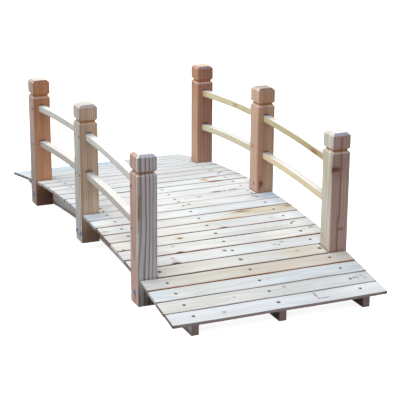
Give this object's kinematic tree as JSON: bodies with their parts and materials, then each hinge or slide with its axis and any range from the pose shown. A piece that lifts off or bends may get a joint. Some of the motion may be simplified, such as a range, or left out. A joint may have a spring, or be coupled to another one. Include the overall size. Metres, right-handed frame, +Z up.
{
  "type": "wooden garden footbridge",
  "caption": "Low arched wooden footbridge with a slatted deck on curved stringers, square posts with grooved caps and curved handrails on both sides.",
  "frame": {"origin": "on the ground under the middle of the deck, at the bottom centre of the bounding box", "axes": "+X across the deck to the right side, +Y along the deck to the far end, +Z up"},
  "size_m": [0.682, 1.576, 0.477],
  "materials": {
    "deck_boards": "sawn, pale, unfinished",
    "stringers": "planed, unfinished",
    "rails": "planed, unfinished",
    "posts": "planed, unfinished",
    "bolts": "blue zinc plated",
    "nails": "darkened steel"
  },
  "bodies": {
    "root": {"plank_01": "deck_boards", "plank_02": "deck_boards", "plank_03": "deck_boards", "plank_04": "deck_boards", "plank_05": "deck_boards", "plank_06": "deck_boards", "plank_07": "deck_boards", "plank_08": "deck_boards", "plank_09": "deck_boards", "plank_10": "deck_boards", "plank_11": "deck_boards", "plank_12": "deck_boards", "plank_13": "deck_boards", "plank_14": "deck_boards", "plank_15": "deck_boards", "plank_16": "deck_boards", "plank_17": "deck_boards", "plank_18": "deck_boards", "plank_19": "deck_boards", "plank_20": "deck_boards", "plank_21": "deck_boards", "plank_22": "deck_boards", "plank_23": "deck_boards", "plank_24": "deck_boards", "plank_25": "deck_boards", "stringer_left_near": "stringers", "stringer_left_far": "stringers", "stringer_centre_near": "stringers", "stringer_centre_far": "stringers", "stringer_right_near": "stringers", "stringer_right_far": "stringers", "rail_left_near_upper": "rails", "rail_left_near_lower": "rails", "rail_left_far_upper": "rails", "rail_left_far_lower": "rails", "rail_right_near_upper": "rails", "rail_right_near_lower": "rails", "rail_right_far_upper": "rails", "rail_right_far_lower": "rails", "post_left_near": "posts", "post_left_middle": "posts", "post_left_far": "posts", "post_right_near": "posts", "post_right_middle": "posts", "post_right_far": "posts"}
  },
  "joints": []
}
